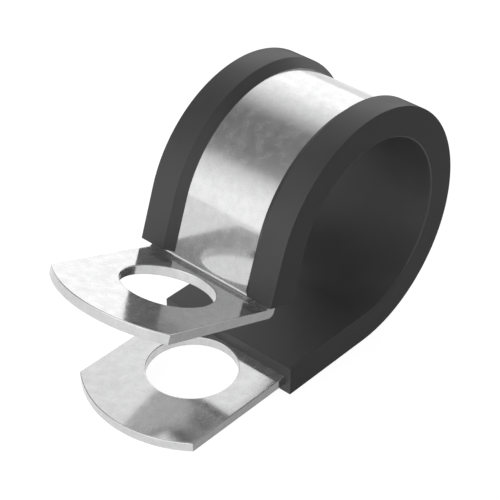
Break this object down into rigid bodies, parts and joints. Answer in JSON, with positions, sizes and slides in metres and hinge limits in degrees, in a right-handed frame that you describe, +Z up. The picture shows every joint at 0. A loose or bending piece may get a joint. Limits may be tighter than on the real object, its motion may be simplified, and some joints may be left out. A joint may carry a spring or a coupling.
{
  "type": "pipe clamp",
  "caption": "Open P-shaped pipe and cable clamp: a bent steel strip with two drilled tabs, its loop lined with a black rubber channel.",
  "frame": {"origin": "on the axis of the tube that the loop holds, in the middle of the clamp's width", "axes": "+Y along the tube's axis, both tabs towards -X, +Z up from the lower leg towards the top of the loop"},
  "size_m": [0.0417, 0.0164, 0.026],
  "materials": {
    "zinc_steel": "bright zinc plated, smooth and mirror-like",
    "black_rubber": "matt black extruded rubber"
  },
  "bodies": {
    "root": {"steel_band": "zinc_steel", "rubber_liner": "black_rubber"}
  },
  "joints": []
}
